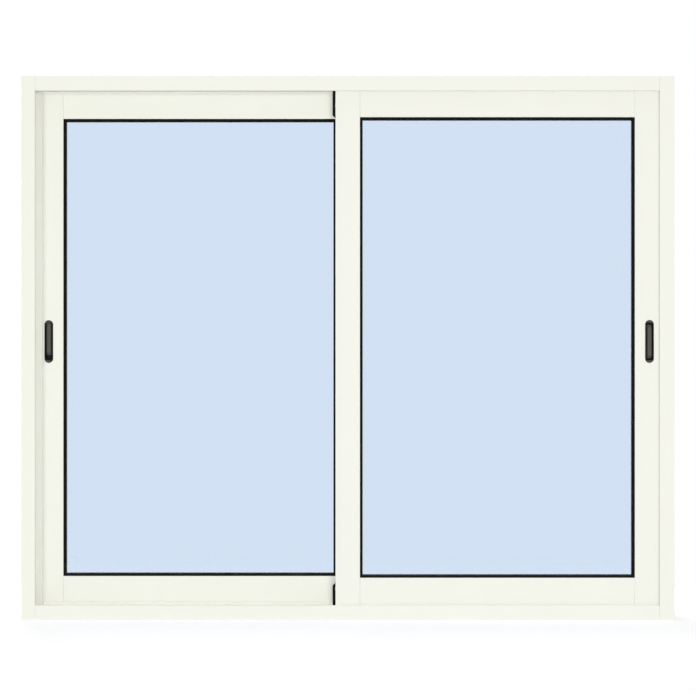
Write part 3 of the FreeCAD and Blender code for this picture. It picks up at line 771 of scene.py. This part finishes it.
def box_faces(work, low, high):
    """A closed box in an open bmesh."""
    made = bmesh.ops.create_cube(work, size=1)
    size = high - low
    for vert in made["verts"]:
        vert.co = low + Vector([(vert.co[axis] + 0.5) * size[axis] for axis in range(3)])


def strip_backings(work, boxes, middle):
    """The flat backing of each strip and the thin film that stands in its pile."""
    for low, high in boxes:
        _, across = strip_axes(low, high)
        way = 1 if low.y > middle else -1
        base_low, base_high = low.copy(), high.copy()
        film_low, film_high = low.copy(), high.copy()
        centre = (low[across] + high[across]) / 2
        film_low[across] = centre - FILM_THICKNESS / 2
        film_high[across] = centre + FILM_THICKNESS / 2
        if way > 0:
            base_high.y = low.y + PILE_BACKING
            film_low.y = base_high.y
        else:
            base_low.y = high.y - PILE_BACKING
            film_high.y = base_low.y
        box_faces(work, base_low, base_high)
        box_faces(work, film_low, film_high)


def add_pile_seals():
    """Bristles, backings and films in place of each sash's plain seals."""
    tree = make_pile_tree()
    for sash in SASHES:
        node = f"{sash}_pile_seals"
        low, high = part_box(node)
        middle = (low.y + high.y) / 2
        boxes = island_boxes(node)
        places, edges, stands = pile_lines(boxes, middle)
        lines = bpy.data.meshes.new(f"{sash}_pile_lines")
        lines.from_pydata(places, edges, [])
        vector_attribute(lines, "stand", stands)
        depth = boxes[0][1].y - boxes[0][0].y
        mesh = grow(f"{sash}_pile_growth", lines, tree, {
            "Pitch": PILE_PITCH, "Bristle Radius": BRISTLE_RADIUS,
            "Bristle Length": depth - PILE_BACKING, "Lean": BRISTLE_LEAN, "Seed": SEED,
            "Finish": FINISHES["grey_pile"]})
        work = bmesh.new()
        work.from_mesh(mesh)
        strip_backings(work, boxes, middle)
        work.to_mesh(mesh)
        work.free()
        piece = new_piece(f"{sash}_pile", mesh, sash, "grey_pile")
        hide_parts(node)


# Studio

def add_camera():
    """Square to the room side, as wide as the photo at the window's face."""
    low, high = cad_box
    data = bpy.data.cameras.new("photo_camera")
    data.sensor_width = SENSOR_WIDTH
    data.lens = SENSOR_WIDTH * CAMERA_DISTANCE / PHOTO_WIDTH_AT_FACE
    camera = bpy.data.objects.new("photo_camera", data)
    camera.location = ((low.x + high.x) / 2, low.y - CAMERA_DISTANCE, (low.z + high.z) / 2)
    camera.rotation_euler = (math.pi / 2, 0, 0)
    bpy.context.scene.collection.objects.link(camera)
    bpy.context.scene.camera = camera


def add_floor():
    """A pale floor under the window that fades into the white round it and keeps the shadow."""
    mesh = bpy.data.meshes.new("studio_floor")
    reach = FLOOR_REACH
    corners = [(FLOOR_CENTRE.x + x * reach.x, FLOOR_CENTRE.y + y * reach.y, cad_box[0].z)
               for x, y in ((-1, -1), (1, -1), (1, 1), (-1, 1))]
    mesh.from_pydata(corners, [], [(0, 1, 2, 3)])
    floor = bpy.data.objects.new("studio_floor", mesh)
    bpy.context.scene.collection.objects.link(floor)

    material, tree, surface, output = new_material("studio_floor")
    surface.inputs["Base Color"].default_value = FLOOR_GREY
    surface.inputs["Roughness"].default_value = FLOOR_ROUGHNESS
    surface.inputs["Specular IOR Level"].default_value = 0.0
    surface.inputs["Emission Color"].default_value = WHITE
    path = add(tree, "ShaderNodeLightPath").outputs
    seen = calc(tree, "MAXIMUM", path["Is Camera Ray"], path["Is Glossy Ray"])
    direct = calc(tree, "MULTIPLY", seen, FLOOR_GLOW)
    through = calc(tree, "MULTIPLY", path["Is Transmission Ray"], FLOOR_GLOW_IN_GLASS)
    glow = calc(tree, "MAXIMUM", direct, through)
    tree.links.new(glow, surface.inputs["Emission Strength"])
    place = add(tree, "ShaderNodeTexCoord").outputs["Object"]
    centred = add(tree, "ShaderNodeMapping", {
        "Vector": place, "Location": (-FLOOR_CENTRE.x / reach.x, -FLOOR_CENTRE.y / reach.y, 0),
        "Scale": (1 / reach.x, 1 / reach.y, 0)})
    distance = add(tree, "ShaderNodeVectorMath", {0: centred.outputs[0]}, operation="LENGTH")
    fade = add(tree, "ShaderNodeMapRange", {
        "Value": distance.outputs["Value"], "From Min": FLOOR_FADE[0], "From Max": FLOOR_FADE[1]},
        interpolation_type="SMOOTHSTEP")
    clear = add(tree, "ShaderNodeBsdfTransparent")
    mix = add(tree, "ShaderNodeMixShader", {
        0: fade.outputs["Result"], 1: surface.outputs["BSDF"], 2: clear.outputs["BSDF"]})
    tree.links.new(mix.outputs["Shader"], output.inputs["Surface"])
    mesh.materials.append(material)


def add_world():
    """White to the eye, in glass and in gloss; a softer, even light on the object."""
    world = bpy.data.worlds.new("studio")
    bpy.context.scene.world = world
    world.use_nodes = True
    tree = world.node_tree
    tree.nodes.clear()
    path = add(tree, "ShaderNodeLightPath").outputs
    direct = calc(tree, "MAXIMUM", path["Is Camera Ray"], path["Is Glossy Ray"])
    seen = calc(tree, "MAXIMUM", direct, path["Is Transmission Ray"])
    light = add(tree, "ShaderNodeBackground", {
        "Color": AMBIENT_COLOUR, "Strength": AMBIENT_STRENGTH})
    white = add(tree, "ShaderNodeBackground", {"Color": WHITE, "Strength": 1})
    mix = add(tree, "ShaderNodeMixShader", {
        0: seen, 1: light.outputs["Background"], 2: white.outputs["Background"]})
    add(tree, "ShaderNodeOutputWorld", {"Surface": mix.outputs["Shader"]})


def add_lamp(name, place, size, watts, colour, mirrored=False):
    """A round lamp turned to the window, whose disc shows in gloss only where it is mirrored."""
    data = bpy.data.lights.new(name, "AREA")
    data.shape = "DISK"
    data.size = size
    data.energy = watts
    data.color = colour
    lamp = bpy.data.objects.new(name, data)
    lamp.location = place
    lamp.rotation_euler = (LAMP_AIM - Vector(place)).to_track_quat("-Z", "Y").to_euler()
    lamp.visible_camera = False
    lamp.visible_glossy = mirrored
    lamp.visible_transmission = False
    bpy.context.scene.collection.objects.link(lamp)


def add_lamps():
    """Three lamps on the room side, one above and one on the outside."""
    add_lamp("front_lamp", (0, -6.0, 0.6), size=0.5, watts=106, colour=(1, 0.99, 0.975))
    add_lamp("left_lamp", (-2.2, -5.4, 0.6), size=1.0, watts=50, colour=(1, 0.99, 0.975))
    add_lamp("right_lamp", (1.5, -5.6, 0.9), size=1.7, watts=78, colour=(1, 0.985, 0.96))
    add_lamp("top_lamp", (0, 0.25, 4.0), size=2.4, watts=46, colour=(1, 0.99, 0.98), mirrored=True)
    add_lamp("back_lamp", (-1.2, 5.4, 1.5), size=2.2, watts=200, colour=(1, 0.985, 0.965))


finish_nodes()
soften_pieces()
add_latch_ramps()
add_fasteners()
add_pile_seals()
add_camera()
add_floor()
add_world()
add_lamps()
bpy.context.scene.view_settings.view_transform = "Standard"
